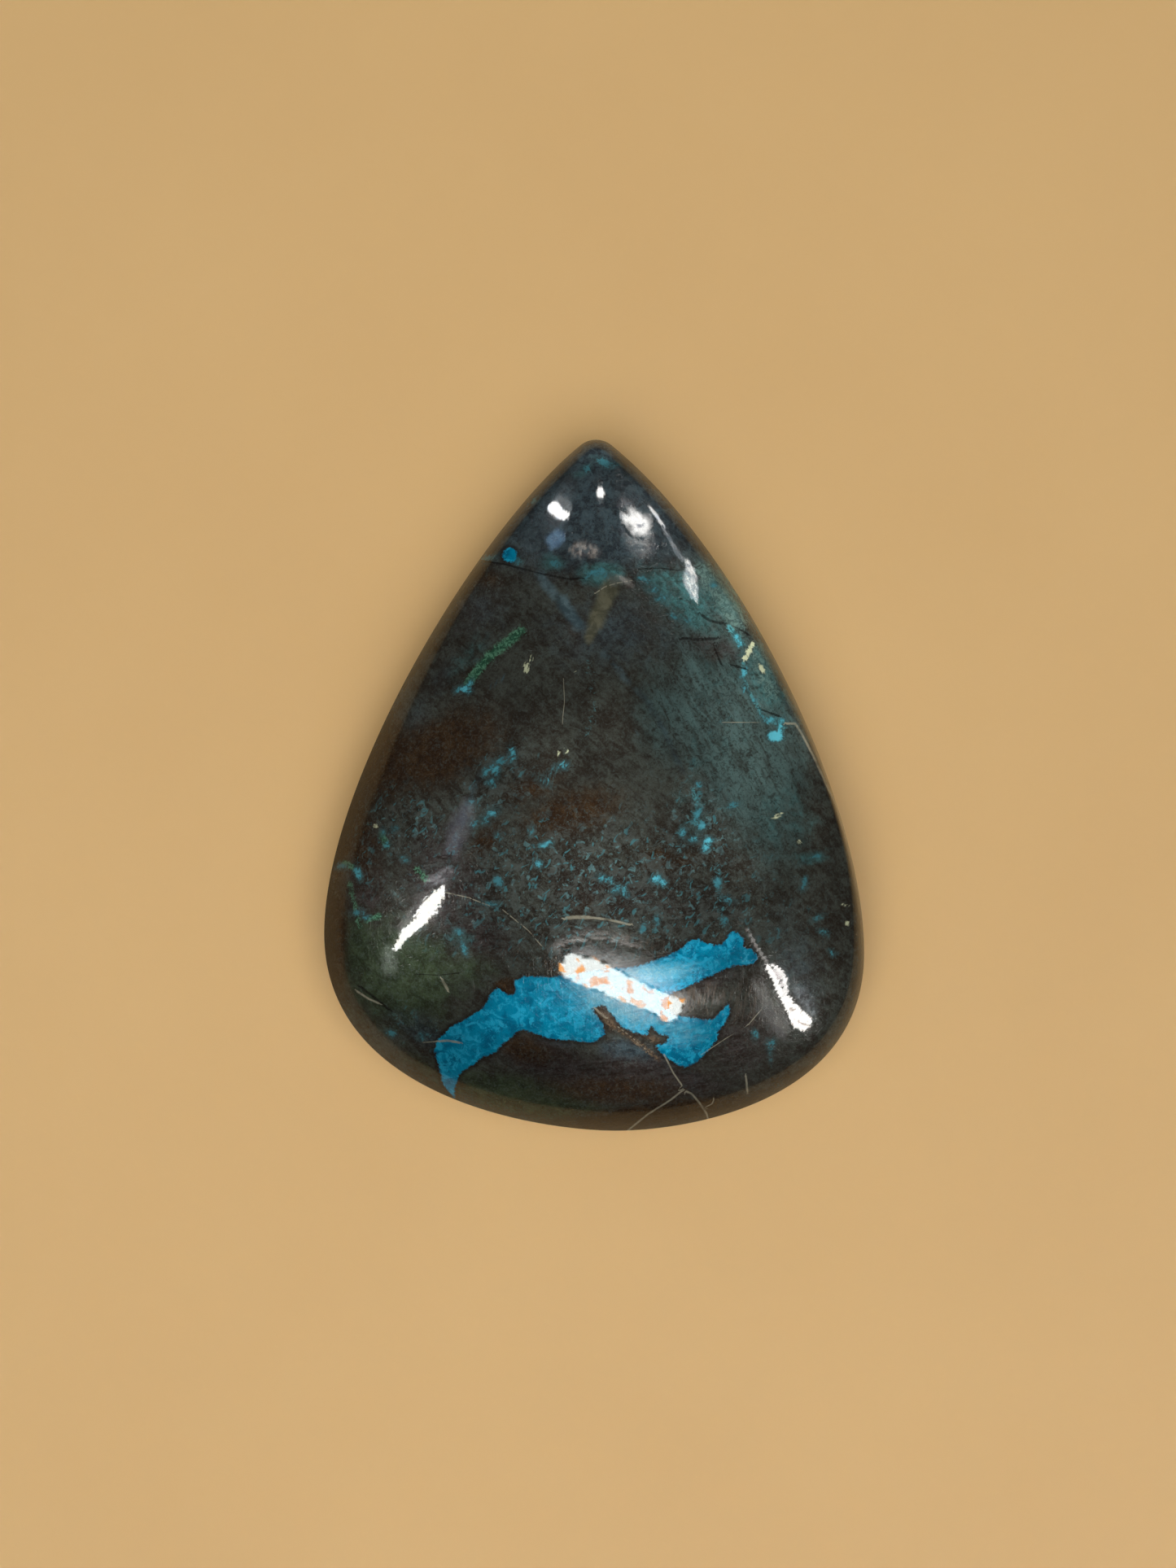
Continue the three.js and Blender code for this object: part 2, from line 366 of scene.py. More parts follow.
        (-8.6, 15, 2.4, 2.4, 0, 0.5), (-13, 3, 3.4, 6, 0, 0.3), (-14.6, -10.5, 4, 5, 0, 0.95),
        (10.4, -4.4, 2.6, 3.2, 0, 1.05), (3.2, 20.2, 2.6, 3, 0, 0.8), (6.5, -16.5, 3.5, 2.2, -20, 1.1),
        (3.4, -20.4, 3.6, 1.6, -15, 1), (-3.2, 1.4, 2.8, 3.8, 0, 0.95), (-3, -18, 4.5, 2.5, 0, 0.6),
        (-12.2, -5, 3.2, 5, 0, 0.6), (12, -6.4, 2, 2, 0, 0.95), (-13.8, -14.6, 3.8, 2.2, 0, 1.2),
        (17.6, -12, 2.2, 6, 4, 0.35), (0, 22, 4, 3, 0, 0.5), (0.2, 27, 1.6, 0.8, 0, 1.3),
        (12.5, -20, 3, 2.5, 0, 0.4), (12.6, -8.6, 2.4, 3, 0, 0.35), (1.4, 4, 2.6, 3.4, 0, 0.75),
        (14.6, 5.6, 1.6, 3, 10, 0.5), (2, -24.2, 4, 1.2, 0, 0.35), (17.7, -2.6, 1.3, 2.4, 8, 0.45),
        (7.8, -0.4, 2, 2, 0, 0.66), (8, -6.2, 1.6, 1.5, 0, 0.85), (-2, -15.9, 2, 0.8, 0, 0.6),
        (2.4, -21.9, 2.6, 1, -15, 0.8), (12.9, 7.4, 2, 3.8, 22, 1.15), (15.2, 4.4, 1.7, 2.8, 20, 0.9),
        (16.4, -16, 2.6, 3.2, -20, 0.95), (7.5, -13.7, 4.6, 1, 16, 0.7), (16.6, 4.4, 0.9, 3.6, 22, 1),
        (-8.4, 4.6, 1.8, 2.4, 0, 0.45), (5.1, 22.7, 1.3, 2.6, 40, 1), (-6.2, 19.2, 1.6, 1.6, 0, 0.35),
    ],
    "darkToneAndPaintedShade": [
        (5, -26.3, 6.5, 0.9, 8, 0.2), (-5, 13, 2.4, 3, 0, 0.18), (-11, -16.4, 2, 1, 0, 0.35),
        (-21.6, -12.5, 1, 6.5, 0, 0.36), (-20.8, -4, 0.9, 4.5, -14, 0.3), (-12.5, -20.5, 4, 2.6, -30, 0.26),
        (-4, -22.6, 5, 2, -10, 0.32), (1.2, 11, 2, 1.8, 0, 0.22), (-9.5, -17.5, 2, 1.4, 0, 0.16),
        (2.5, -6.5, 3, 3, 0, 0.2), (6, 7, 1.8, 2, 0, 0.25),
    ],
    "brightness": 0.78,  # outside those zones, the level that the painted light and shade start from
    "drift": (0.35, -0.45),  # below the girdle the pattern runs on through the stone at this slant
    "backLevel": 0.02,  # up to here a point lies on the flat back
    "fading": 0.7,  # more makes zones and streaks end sooner
    "speckLean": 0.5,  # the most that a speck is turned, in radians
    "speckLeanRate": 2.4,  # makes each speck lean its own way
}

# Zones of other rock, in the same numbers as the pale zones. The grey-teal zones on the right are
# partly the rock's tone and partly a painted sheen, and the glare on the azurite is painted
patches = {
    "rust": [
        (5, -26.6, 7, 0.9, 8, 1.1), (-21.2, -12.5, 1.1, 6, 0, 1.1), (-20.4, -4, 1, 4.5, -14, 1.1),
        (-12.5, 2.8, 5, 2.6, 25, 1), (-17.3, 2, 3.4, 3.6, 60, 1), (-19, -4, 1.6, 4.5, 10, 0.8),
        (-8.8, -4.5, 2, 0.9, 50, 0.9), (-1.8, -2.2, 4.2, 1.8, 15, 0.95), (-5.2, -0.3, 2.4, 1, 15, 0.8),
        (-5.6, -21.4, 2.4, 1.1, -15, 0.9), (-7.1, -16.4, 0.9, 0.7, 0, 1.3), (-0.5, -9.9, 1.3, 0.9, 0, 0.6),
        (7, -6.2, 2, 0.8, 20, 0.6), (-1.7, 12.9, 0.8, 2.4, 10, 0.5), (5, -6, 1.5, 0.9, 0, 0.9),
        (2, -24.8, 7, 1.3, -2, 0.75), (-3.6, -21.9, 3, 0.8, -12, 0.4), (-8.6, 16.8, 1.6, 0.9, -10, 0.6),
        (4.8, 13.5, 2.2, 0.6, -25, 0.45), (9.9, 10.5, 1.4, 0.8, -20, 0.5),
    ],
    "purple": [
        (-12, -9, 3.4, 5.4, 10, 0.9), (-9.5, -12, 3.5, 1.8, -20, 0.8), (-18.6, -8, 1.6, 5, 5, 0.8),
        (3, -23.8, 7.5, 1.8, -3, 1), (-4, -22.2, 3.8, 1.4, -15, 1), (10, 11, 3, 1.1, -15, 0.7),
        (9.4, -15.6, 2.4, 1.2, 25, 0.8), (12, -21, 4, 3, 30, 0.7), (-10.5, 13, 2, 4, -30, 0.4),
        (2.8, -8.9, 9, 3, -10, 0.5), (-11.5, -17.5, 2.4, 0.9, 10, 0.6),
    ],
    "green": [
        (-15.5, -15.3, 4.6, 3.9, -20, 1.1), (-19, -13.5, 2, 3.2, 0, 0.9), (-10.5, -15, 3, 1.6, 0, 0.7),
        (-6, -25.2, 6.5, 1.5, -12, 1), (-14, -22.5, 3.5, 1, -35, 0.5),
    ],
    # partly the rock's grey-teal tone, partly a painted sheen where broad reflected light lay
    "veilAndPaintedSheen": [
        (11.6, 5, 4.2, 8.5, 18, 1.3), (14.4, -2.6, 3, 5.2, 10, 0.7), (6.5, 5.5, 3.2, 5, 20, 0.75),
        (8.5, 13.5, 3, 3, 30, 0.8), (9.6, 15.8, 2.6, 3.6, 38, 0.9),
    ],
    "teal": [
        (6.9, 15.6, 3, 1.3, -30, 1.1), (8, 13.6, 2.4, 0.8, -25, 0.9), (10.6, 15.4, 1.4, 2.4, 25, 0.9),
        (10.4, 8.6, 3.4, 2.6, 0, 0.35), (13.8, 8.6, 1.7, 4.4, 24, 0.6), (10, 3, 4.4, 3, -40, 0.3),
        (8, -2, 1.6, 4.5, 10, 0.4), (-1.4, 25.2, 1.2, 0.5, 10, 0.45), (17.6, -5.9, 1.5, 0.6, 0, 0.7),
        (15.5, -2.5, 3, 3.5, 0, 0.45), (-3.4, 18, 1, 0.7, 0, 0.8), (0.6, 17.1, 1.7, 0.8, 0, 1.1),
        (-11, -12.5, 1.5, 1.2, 0, 0.5), (-10.2, 10.2, 1.2, 3.4, -35, 0.4),
    ],
    "slate": [
        (7.8, -24, 1.2, 0.8, -30, 1), (1.5, 12.5, 7.5, 3.8, 0, 0.55), (-9, 14, 3, 3, 0, 0.45),
        (-14.5, 5, 2.6, 3.6, 0, 0.45), (0.4, 21.6, 9, 4.2, 0, 1.1), (5, 16.2, 4, 1.4, -20, 0.5),
        (0, 26, 3, 3, 0, 1), (3.4, -22.2, 2.8, 1.1, -20, 1.2), (-14.6, -19.3, 3.6, 1.1, -38, 0.8),
        (-12.4, 8.6, 3.4, 1.2, 62, 0.4), (16.4, -14.5, 2.6, 4.5, 15, 0.5), (-3.5, -20.9, 2.6, 0.4, -5, 0.6),
    ],
    # painted glare: the band paler where the front glint's haze lies over it
    "paintedGlareOnAzurite": [
        (5.2, -15.2, 3.2, 0.9, 4, 0.8), (1.6, -18, 3.6, 1.3, -22, 0.8), (7, -20.2, 2.4, 1.2, -10, 0.5),
    ],
    "thread": [
        (8.8, -17.1, 2.6, 1.1, 5, 1), (12.4, -17.8, 1.5, 2.2, 0, 0.8), (3.5, -12.6, 3, 0.8, -5, 0.6),
    ],
    "speckle": [
        (0.5, -8.6, 12.5, 5.4, -4, 1), (-8, 0.2, 3.4, 2.4, 35, 0.8), (-15.4, -3.2, 3.2, 3, 0, 0.75),
        (8.6, -3, 2.6, 4, 10, 0.8), (-14, -9, 4, 3, 0, 0.5), (-13.5, -20, 4, 1.6, -25, 0.6),
        (15.6, -11, 4.5, 4, 15, 0.45), (10.5, 6, 3, 5, -10, 0.35), (-18.6, -6, 1.5, 3.4, 5, 0.6),
        (-12, -12.4, 3.6, 1.6, -20, 0.55),
    ],
}

# Bands of colour along a line: half width, strength, then the points
streaks = {
    "greenStreak": [
        (0.36, 1.2, [(-5.9, 12.5), (-7, 11.6), (-8, 10.9), (-8.9, 10), (-9.6, 9.1), (-10.2, 8.3)]),
        (0.25, 1, [(-20.3, -6.3), (-19.6, -6.6)]), (0.25, 0.9, [(-14.4, -6.8), (-13.6, -7.7)]),
        (0.25, 0.9, [(-18.4, -10.9), (-17.4, -10.6)]), (0.28, 0.6, [(-19.8, -8), (-19, -11.5)]),
        (0.3, 0.9, [(-17.2, -4), (-16.8, -4.9)]),
    ],
    "oliveStreak": [
        (0.74, 1.1, [(1.4, 16.2), (0.8, 14.9), (0.1, 13.3)]), (0.48, 1, [(0.1, 13.3), (-0.4, 11.9)]),
    ],
    # a painted reflection: the pale cap where the olive streak ends, under the pink panel's mirrored light
    "paintedCapReflection": [
        (0.3, 1, [(1.2, 16.9), (2.8, 16.5)]), (0.18, 0.8, [(0.6, 17.3), (1.2, 16.9)]),
        (0.24, 0.8, [(1.4, 16.2), (2.6, 16.45)]),
    ],
    "brownStreak": [
        (0.32, 1.3, [(0, -17.9), (0.8, -18.7), (1.7, -19.5)]),
        (0.2, 1.1, [(1.7, -19.5), (2.9, -20.4), (4.1, -21.3), (5.3, -22.3)]),
        (0.26, 1.1, [(3.2, -19.7), (5.1, -20.7)]),
    ],
    "blueStreak": [
        (0.5, 0.85, [(-4.4, 17.1), (-3.6, 15.9), (-2.6, 14.8)]),
        (0.56, 1.1, [(-2.6, 14.8), (-1.9, 13.8), (-1.3, 13.1)]),
        (0.42, 0.66, [(0.7, 10.7), (1.9, 9.5), (3.1, 8), (4.3, 6.8), (5.2, 5.4), (5.9, 4), (7.2, 1)]),
        (0.14, 1, [(-8.5, 8), (-7.9, 8.25), (-7.3, 8.8)]),
        (0.14, 0.6, [(2.6, 4.8), (3.8, 4.1), (4.5, 4.5)]),
        (0.5, 0.6, [(-11.2, -4.4), (-10, -1), (-9.2, 1)]),
    ],
    "flankStrip": [
        (0.8, 0.9, [(8.9, 17.3), (10.4, 15.2), (11.7, 13.2)]), (0.8, 0.7, [(13, 10.8), (14.4, 7.6)]),
    ],
    "tealStreak": [
        (0.45, 0.35, [(-0.5, 10.1), (-0.2, 8.1), (0, 6.8), (-0.2, 5.4), (-0.5, 4.3)]),
        (0.22, 1.1, [(10.9, 12.8), (11.7, 11.9), (12, 11.4)]),
        (0.18, 0.75, [(12.1, 9.9), (12.1, 9), (12.4, 7.8), (13, 6.8), (13.7, 5.6)]),
        (0.35, 0.8, [(14, 5.3), (14.9, 5.2), (15.3, 4.6)]), (0.3, 0.7, [(8, -0.4), (8.4, -1.8), (8.2, -3)]),
        (0.3, 0.6, [(9.9, -6.6), (10.2, -9), (10.4, -11.4)]),
    ],
}
farOff = 99.0  # mm or half widths, and farther than any marking reaches


def drawnPlace(points):  # where each point of the surface shows from the viewpoint, mm
    girdle = stone["girdleHeight"]
    eye = np.array(eyePoint()) / mm
    above = np.maximum(points[:, 2] - girdle, 0)
    grow = (eye[2] - girdle) / (eye[2] - girdle - above)
    shown = eye[:2] + (points[:, :2] - eye[:2]) * grow[:, None]
    below = np.maximum(girdle - points[:, 2], 0)
    onBack = points[:, 2] < markings["backLevel"]
    inward = np.where(onBack, edgeDistance(points[:, :2] / stone["backShare"]), 0)
    return shown + (below + inward)[:, None] * np.array(markings["drift"])


def polygonDepth(points, corners):  # distance to the outline, positive inside
    line = np.array(corners + corners[:1])
    distance = segmentDistance(points, line)[0].min(axis=1)
    start, end = line[:-1], line[1:]
    x, y = points[:, :1], points[:, 1:]
    crosses = (start[:, 1] > y) != (end[:, 1] > y)
    rise = end[:, 1] - start[:, 1]
    rise[np.abs(rise) < tiny] = tiny
    crossing = start[:, 0] + (y - start[:, 1]) / rise * (end[:, 0] - start[:, 0])
    inside = (crosses & (crossing > x)).sum(axis=1) % 2 == 1
    return np.where(inside, distance, -distance)


def turnedPlace(points, x, y, angle):  # the points, measured from a spot at x, y that is turned
    away = points - (x, y)
    cosine, sine = math.cos(angle), math.sin(angle)
    return away[:, 0] * cosine + away[:, 1] * sine, away[:, 1] * cosine - away[:, 0] * sine


def speckDepth(points, specks):  # depth inside the nearest speck, and how bright that one is
    depth = np.full(len(points), -farOff)
    glow = np.zeros(len(points))
    for number, (x, y, wide, high, *bright) in enumerate(specks):
        lean = markings["speckLean"] * math.sin(markings["speckLeanRate"] * number)
        alongX, alongY = turnedPlace(points, x, y, lean)
        here = (1 - np.hypot(alongX / (wide / 2), alongY / (high / 2))) * min(wide, high) / 2
        nearer = here > depth
        depth[nearer] = here[nearer]
        glow[nearer] = bright[0] if bright else 0
    return depth, glow


def veinPlace(points, veins):  # half widths off the nearest line: with its side, and without
    near = np.full(len(points), farOff)
    side = np.full(len(points), farOff)
    rows = np.arange(len(points))
    for halfWidth, line in veins:
        distance, sides = segmentDistance(points, np.array(line))
        closest = distance.argmin(axis=1)
        here = distance[rows, closest] / halfWidth
        nearer = here < near
        near[nearer] = here[nearer]
        side[nearer] = (here * sides[rows, closest])[nearer]
    return side, near


def patchWeight(points, spots):
    weight = np.zeros(len(points))
    for x, y, halfWide, halfHigh, turn, strength in spots:
        alongX, alongY = turnedPlace(points, x, y, math.radians(turn))
        far = (alongX / halfWide) ** 2 + (alongY / halfHigh) ** 2
        weight = np.maximum(weight, strength * np.exp(-markings["fading"] * far))
    return weight


def streakWeight(points, lines):
    weight = np.zeros(len(points))
    for halfWidth, strength, line in lines:
        far = (segmentDistance(points, np.array(line))[0].min(axis=1) / halfWidth) ** 2
        weight = np.maximum(weight, strength * np.exp(-markings["fading"] * far))
    return weight


def keepOnMesh(mesh, name, values):  # a number or a vector at each vertex
    kind, field = ("FLOAT", "value") if values.ndim == 1 else ("FLOAT_VECTOR", "vector")
    mesh.attributes.new(name, kind, "POINT").data.foreach_set(field, values.astype(np.float32).ravel())


def drawMarkings(body):
    places = drawnPlace(vertexArray(body.data) / mm)
    dot = markings["azuriteDot"]
    dotDepth = dot["radius"] - np.hypot(places[:, 0] - dot["x"], places[:, 1] - dot["y"])
    drawn = {"bandDepth": np.maximum(polygonDepth(places, markings["azuriteBand"]), dotDepth)}
    drawn["fleckDepth"], drawn["fleckGlow"] = speckDepth(places, markings["flecks"])
    drawn["creamDepth"] = speckDepth(places, markings["creamSpecks"])[0]
    for name in ("pale", "dark"):
        drawn[name + "Side"], drawn[name + "Near"] = veinPlace(places, markings[name + "Veins"])
    # painted light and shade, laid together with the rock's own paler and darker tone
    drawn["paintedLightAndPaleness"] = patchWeight(places, markings["paleToneAndPaintedLight"])
    drawn["paintedLightAndPaleness"] -= patchWeight(places, markings["darkToneAndPaintedShade"])
    for name, spots in patches.items():
        drawn[name] = patchWeight(places, spots)
    for name, lines in streaks.items():
        drawn[name] = streakWeight(places, lines)
    for name, values in drawn.items():
        keepOnMesh(body.data, name, values)
    print("markings drawn,", len(drawn), "layers")


drawMarkings(cabochon)


def tone(red, green, blue):  # a colour as seen, 0 to 255, in the numbers that the shader takes
    seen = [value / 255 for value in (red, green, blue)]
    return [v / 12.92 if v <= 0.04045 else ((v + 0.055) / 1.055) ** 2.4 for v in seen] + [1]


# Colours of the stone and of its painted glare, sheen and reflection, 0 to 255. Where a name
# comes again with Light, a texture mixes the two.
colours = {
    "ground": (41, 37, 32), "groundLight": (63, 67, 62), "grainDark": (30, 26, 23),
    "grainLight": (70, 78, 76), "rust": (42, 28, 17), "rustLight": (58, 43, 27), "purple": (40, 32, 30),
    "purpleLight": (60, 55, 55), "green": (36, 45, 30), "greenLight": (52, 64, 46), "teal": (48, 72, 71),
    "tealLight": (70, 122, 126), "slate": (38, 47, 54), "slateLight": (60, 76, 84), "veilAndPaintedSheen": (50, 60, 58),
    "veilAndPaintedSheenLight": (74, 98, 98), "blob": (76, 84, 82), "chip": (70, 94, 98), "chipLight": (94, 140, 146),
    "worm": (84, 102, 102), "wormDark": (26, 19, 16), "thread": (88, 80, 72), "fleckDull": (60, 108, 116),
    "greenStreak": (34, 78, 60), "greenStreakLight": (84, 136, 110), "oliveStreak": (68, 68, 54),
    "oliveStreakLight": (92, 91, 74), "paintedCapReflection": (84, 90, 86), "paintedCapReflectionLight": (142, 144, 134),
    "brownStreak": (66, 52, 42), "brownStreakLight": (104, 88, 68), "flankStrip": (72, 94, 92),
    "flankStripLight": (96, 124, 120), "blueStreak": (50, 68, 76), "blueStreakLight": (82, 104, 112),
    "tealStreak": (44, 88, 96), "tealStreakLight": (76, 146, 156), "azurite": (0, 90, 124),
    "azuriteLight": (0, 118, 154), "azuriteBright": (30, 152, 190), "azuritePale": (92, 168, 196),
    "azuritePaleLight": (126, 186, 204), "fleckRim": (58, 88, 92), "fleck": (58, 114, 126),
    "fleckLight": (88, 184, 206), "veinPale": (146, 144, 128), "veinDark": (16, 13, 12),
    "cream": (196, 204, 172),
}
paint = {name: tone(*seen) for name, seen in colours.items()}

# Noise textures: size of a blot in mm, detail, roughness and distortion. A drawn-out blot has
# three sizes, and its turn in degrees comes last.
textures = {
    "cloud": (4.5, 4, 0.55),
    "mottle": (1.2, 5, 0.62, 0.4),
    "grain": (0.38, 3, 0.6, 1.4),
    "fine": (0.16, 2, 0.6, 0.6),
    "other": (0.8, 5, 0.62, 0.8),
    "curl": (0.62, 2, 0.55, 1.6),
    "blob": (1.1, 3, 0.6, 0.6),
    "chip": (0.55, 2, 0.55, 0.5),
    "smear": ((1.8, 0.42, 0.8), 4, 0.62, 0.6, 8),
    "slant": ((1.4, 0.5, 0.8), 4, 0.62, 0.6, -42),
    "strands": ((2.4, 0.6, 0.8), 4, 0.62, 0.8, -60),
    "blots": ((0.9, 0.5, 0.8), 2, 0.5, 1, 50),
    "threads": ((0.2, 1.7, 0.8), 3, 0.6, 0.7, -8),
}
mixtures = {  # sums of the textures, and how much of each
    "uneven": {"mottle": 0.5, "slant": 0.6, "cloud": 0.6},
    "flow": {"grain": 0.35, "strands": 0.65},
    "blotted": {"other": 0.6, "slant": 0.4},
    "ragged": {"grain": 0.45, "other": 0.55},
    "patchy": {"other": 1, "fine": 0.25},
}

# The texture of each zone and streak, in the order they are laid
zoneTextures = {
    "veilAndPaintedSheen": "flow", "slate": "other", "purple": "smear", "teal": "blotted", "green": "mottle",
    "rust": "other",
}
streakTextures = {
    "flankStrip": "grain", "tealStreak": "grain", "blueStreak": "mottle", "oliveStreak": "mottle",
    "paintedCapReflection": "mottle", "greenStreak": "grain", "brownStreak": "grain",
}

# How far a texture breaks up the edge of each marking
raggedness = {
    "veilAndPaintedSheen": 0.6, "slate": 0.6, "purple": 0.7, "teal": 0.9, "green": 0.7, "rust": 0.7, "speckle": 0.8,
    "thread": 0.5, "flankStrip": 1.3, "tealStreak": 1.3, "blueStreak": 0.9, "oliveStreak": 0.5,
    "paintedCapReflection": 0.5, "greenStreak": 1.3, "brownStreak": 1.3, "fleck": 1.2, "bandBorder": 0.5,
    "band": 0.55, "azuritePale": 0.9, "cream": 0.35, "vein": 1.2,
}

# Where a texture turns the darker colour of a pair into the lighter one
toning = {
    "ground": (0.72, 1), "zone": (0.38, 0.64), "chip": (0.45, 0.6), "streak": (0.44, 0.62),
    "azurite": (0.36, 0.56), "azuritePale": (0.44, 0.6),
}

# How a layer shows: not at all where its texture or depth is at the first number, fully at the
# second, and the third is its share
layers = {
    "zone": (0.2, 0.85, 1), "grainLight": (0.52, 0.68, 0.3), "grainDark": (0.48, 0.34, 0.45),
    "fineLight": (0.5, 0.72, 0.2), "fineDark": (0.5, 0.3, 0.3), "speckle": (0.2, 0.75, 1),
    "worm": (0.05, 0.015, 1), "wormPiece": (0.44, 0.56, 1), "wormDark": (0.05, 0.01, 0.5),
    "blob": (0.5, 0.62, 0.5), "chip": (0.6, 0.66, 0.45), "fleckDull": (0.61, 0.68, 0.75),
    "thread": (0.2, 0.8, 0.5), "threads": (0.46, 0.6, 1), "streak": (0.3, 0.95, 0.8),
    "fleckRim": (-0.35, 0.02, 0.45), "fleckHeart": (-0.02, 0.2, 1), "fleck": (-0.08, 0.08, 0.85),
    "bandBorder": (-0.38, -0.08, 0.55), "azuriteBright": (0.6, 0.74, 0.8),
    "azuritePale": (0.15, 0.9, 0.75), "band": (-0.05, 0.12, 1), "cream": (-0.06, 0.06, 0.85),
    "veinLine": (1.9, 1, 1), "veinNear": (3.4, 2.6, 1), "veinPale": (0.3, 0.6, 0.5),
}
leastWorm, mostWorm = 0.12, 0.32  # share of the worm-like strokes, outside the speckles and in them
leastPaleVein = 0.25  # where a pale vein is thinnest
darkVeinShare = 0.7
polish = {
    "roughness": (0.08, 0.2),  # between the wheel marks and in them
    "level": 0.05,
    "coat": 0.5,
    "coatRoughness": 0.028,
    "marks": ((1.7, 0.22, 0.8), 1, 0.5, 0.5),  # as a texture
    "markTurns": (8, 52, 97, 141),  # degrees
    "markEdge": (0.5, 0.66),
    "markDepth": 0.005,  # mm
    "fewMarks": 0.5,  # the smooth roughness holds up to here
    "manyMarks": 1.9,  # and the marked one from here on
}


class Bench:  # lays a material's nodes, and keeps the colour that it has reached
    def __init__(self, name):
        self.material = bpy.data.materials.new(name)
        self.material.use_nodes = True
        self.tree = self.material.node_tree
        self.shader = self.tree.nodes["Principled BSDF"]
        self.place = self.node("ShaderNodeTexCoord").outputs["Object"]
        self.colour = None

    def node(self, kind, **settings):
        made = self.tree.nodes.new(kind)
        for key, value in settings.items():
            setattr(made, key, value)
        return made

    def feed(self, socket, value):
        if isinstance(value, bpy.types.NodeSocket):
            self.tree.links.new(value, socket)
        else:
            socket.default_value = value

    def mathNode(self, operation, *values):
        made = self.node("ShaderNodeMath", operation=operation)
        for socket, value in zip(made.inputs, values):
            self.feed(socket, value)
        return made.outputs[0]

    def times(self, a, b):
        return self.mathNode("MULTIPLY", a, b)

    def timesPlus(self, a, b, c):
        return self.mathNode("MULTIPLY_ADD", a, b, c)

    def noise(self, size, detail=2, roughness=0.5, distortion=0, turn=0, place=None, unit=mm):
        place = place or self.place
        if isinstance(size, tuple):
            drawnOut = self.node("ShaderNodeMapping", vector_type="TEXTURE")
            self.feed(drawnOut.inputs["Vector"], place)
            drawnOut.inputs["Rotation"].default_value = (0, 0, math.radians(turn))
            drawnOut.inputs["Scale"].default_value = size
            place, size = drawnOut.outputs["Vector"], 1
        made = self.node("ShaderNodeTexNoise")
        self.feed(made.inputs["Vector"], place)
        made.inputs["Scale"].default_value = 1 / (size * unit)
        for name, value in (("Detail", detail), ("Roughness", roughness), ("Distortion", distortion)):
            made.inputs[name].default_value = value
        return made.outputs["Fac"]

    def step(self, value, low, high):  # 0 at low, 1 at high and smooth between, either way round
        made = self.node("ShaderNodeMapRange", interpolation_type="SMOOTHSTEP")
        self.feed(made.inputs["Value"], value)
        made.inputs["From Min"].default_value = low
        made.inputs["From Max"].default_value = high
        return made.outputs["Result"]

    def offMiddle(self, texture):  # how far a texture is from its middle value
        return self.mathNode("ABSOLUTE", self.mathNode("SUBTRACT", texture, 0.5))

    def blend(self, amount, a, b, kind="MIX"):
        made = self.node("ShaderNodeMix", data_type="RGBA", blend_type=kind)
        self.feed(made.inputs[0], amount)
        self.feed(made.inputs[6], a)
        self.feed(made.inputs[7], b)
        return made.outputs[2]

    def shown(self, layer, value, within=1):
        low, high, share = layers[layer]
        return self.times(self.times(self.step(value, low, high), share), within)

    def lay(self, colour, mask):  # over the colour so far
        self.colour = self.blend(mask, self.colour, colour)

    def attribute(self, name, output="Fac"):
        return self.node("ShaderNodeAttribute", attribute_name=name).outputs[output]

    def ragged(self, marking, texture, attribute=None):  # a marking's attribute, with its edge broken up
        amount = raggedness[marking]
        broken = self.timesPlus(texture, amount, -amount / 2)
        return self.mathNode("ADD", self.attribute(attribute or marking), broken)


def makeTextures(b):
    made = {name: b.noise(*settings) for name, settings in textures.items()}
    for name, shares in mixtures.items():
        total = 0
        for part, share in shares.items():
            total = b.timesPlus(made[part], share, total)
        made[name] = total
    return made


def twoToned(b, name, texture, kind=None):
    return b.blend(b.step(texture, *toning[kind or name]), paint[name], paint[name + "Light"])


def layRock(b, made):
    b.colour = twoToned(b, "ground", made["uneven"])
    # among these zones, the grey-teal ones on the right are partly a painted sheen
    for name, texture in zoneTextures.items():
        b.lay(twoToned(b, name, made[texture], "zone"), b.shown("zone", b.ragged(name, made["mottle"])))
    for texture in ("grain", "fine"):
        b.lay(paint["grainLight"], b.shown(texture + "Light", made[texture]))
        b.lay(paint["grainDark"], b.shown(texture + "Dark", made[texture]))


def laySpeckles(b, made):  # worm-like strokes, blobs and chips, thick where the stone is speckled
    speckle = b.shown("speckle", b.ragged("speckle", made["mottle"]))
    wormShare = b.timesPlus(speckle, mostWorm - leastWorm, leastWorm)
    wormShare = b.shown("wormPiece", made["grain"], wormShare)
    b.lay(paint["worm"], b.shown("worm", b.offMiddle(made["curl"]), wormShare))
    b.lay(paint["wormDark"], b.shown("wormDark", b.offMiddle(made["other"]), speckle))
    b.lay(paint["blob"], b.shown("blob", made["blob"], speckle))
    b.lay(twoToned(b, "chip", made["other"]), b.shown("chip", made["chip"], speckle))
    b.lay(paint["fleckDull"], b.shown("fleckDull", made["blots"], speckle))
    threaded = b.shown("thread", b.ragged("thread", made["mottle"]))
    b.lay(paint["thread"], b.shown("threads", made["threads"], threaded))


def layStreaks(b, made):
    # one of these streaks, the pale cap, is a painted reflection
    for name, texture in streakTextures.items():
        mask = b.shown("streak", b.ragged(name, made[texture]))
        b.lay(twoToned(b, name, made[texture], "streak"), mask)


def layFlecks(b, made):
    depth = b.ragged("fleck", made["ragged"], "fleckDepth")
    b.lay(paint["fleckRim"], b.shown("fleckRim", depth))
    heart = b.shown("fleckHeart", depth, b.attribute("fleckGlow"))
    b.lay(b.blend(heart, paint["fleck"], paint["fleckLight"]), b.shown("fleck", depth))


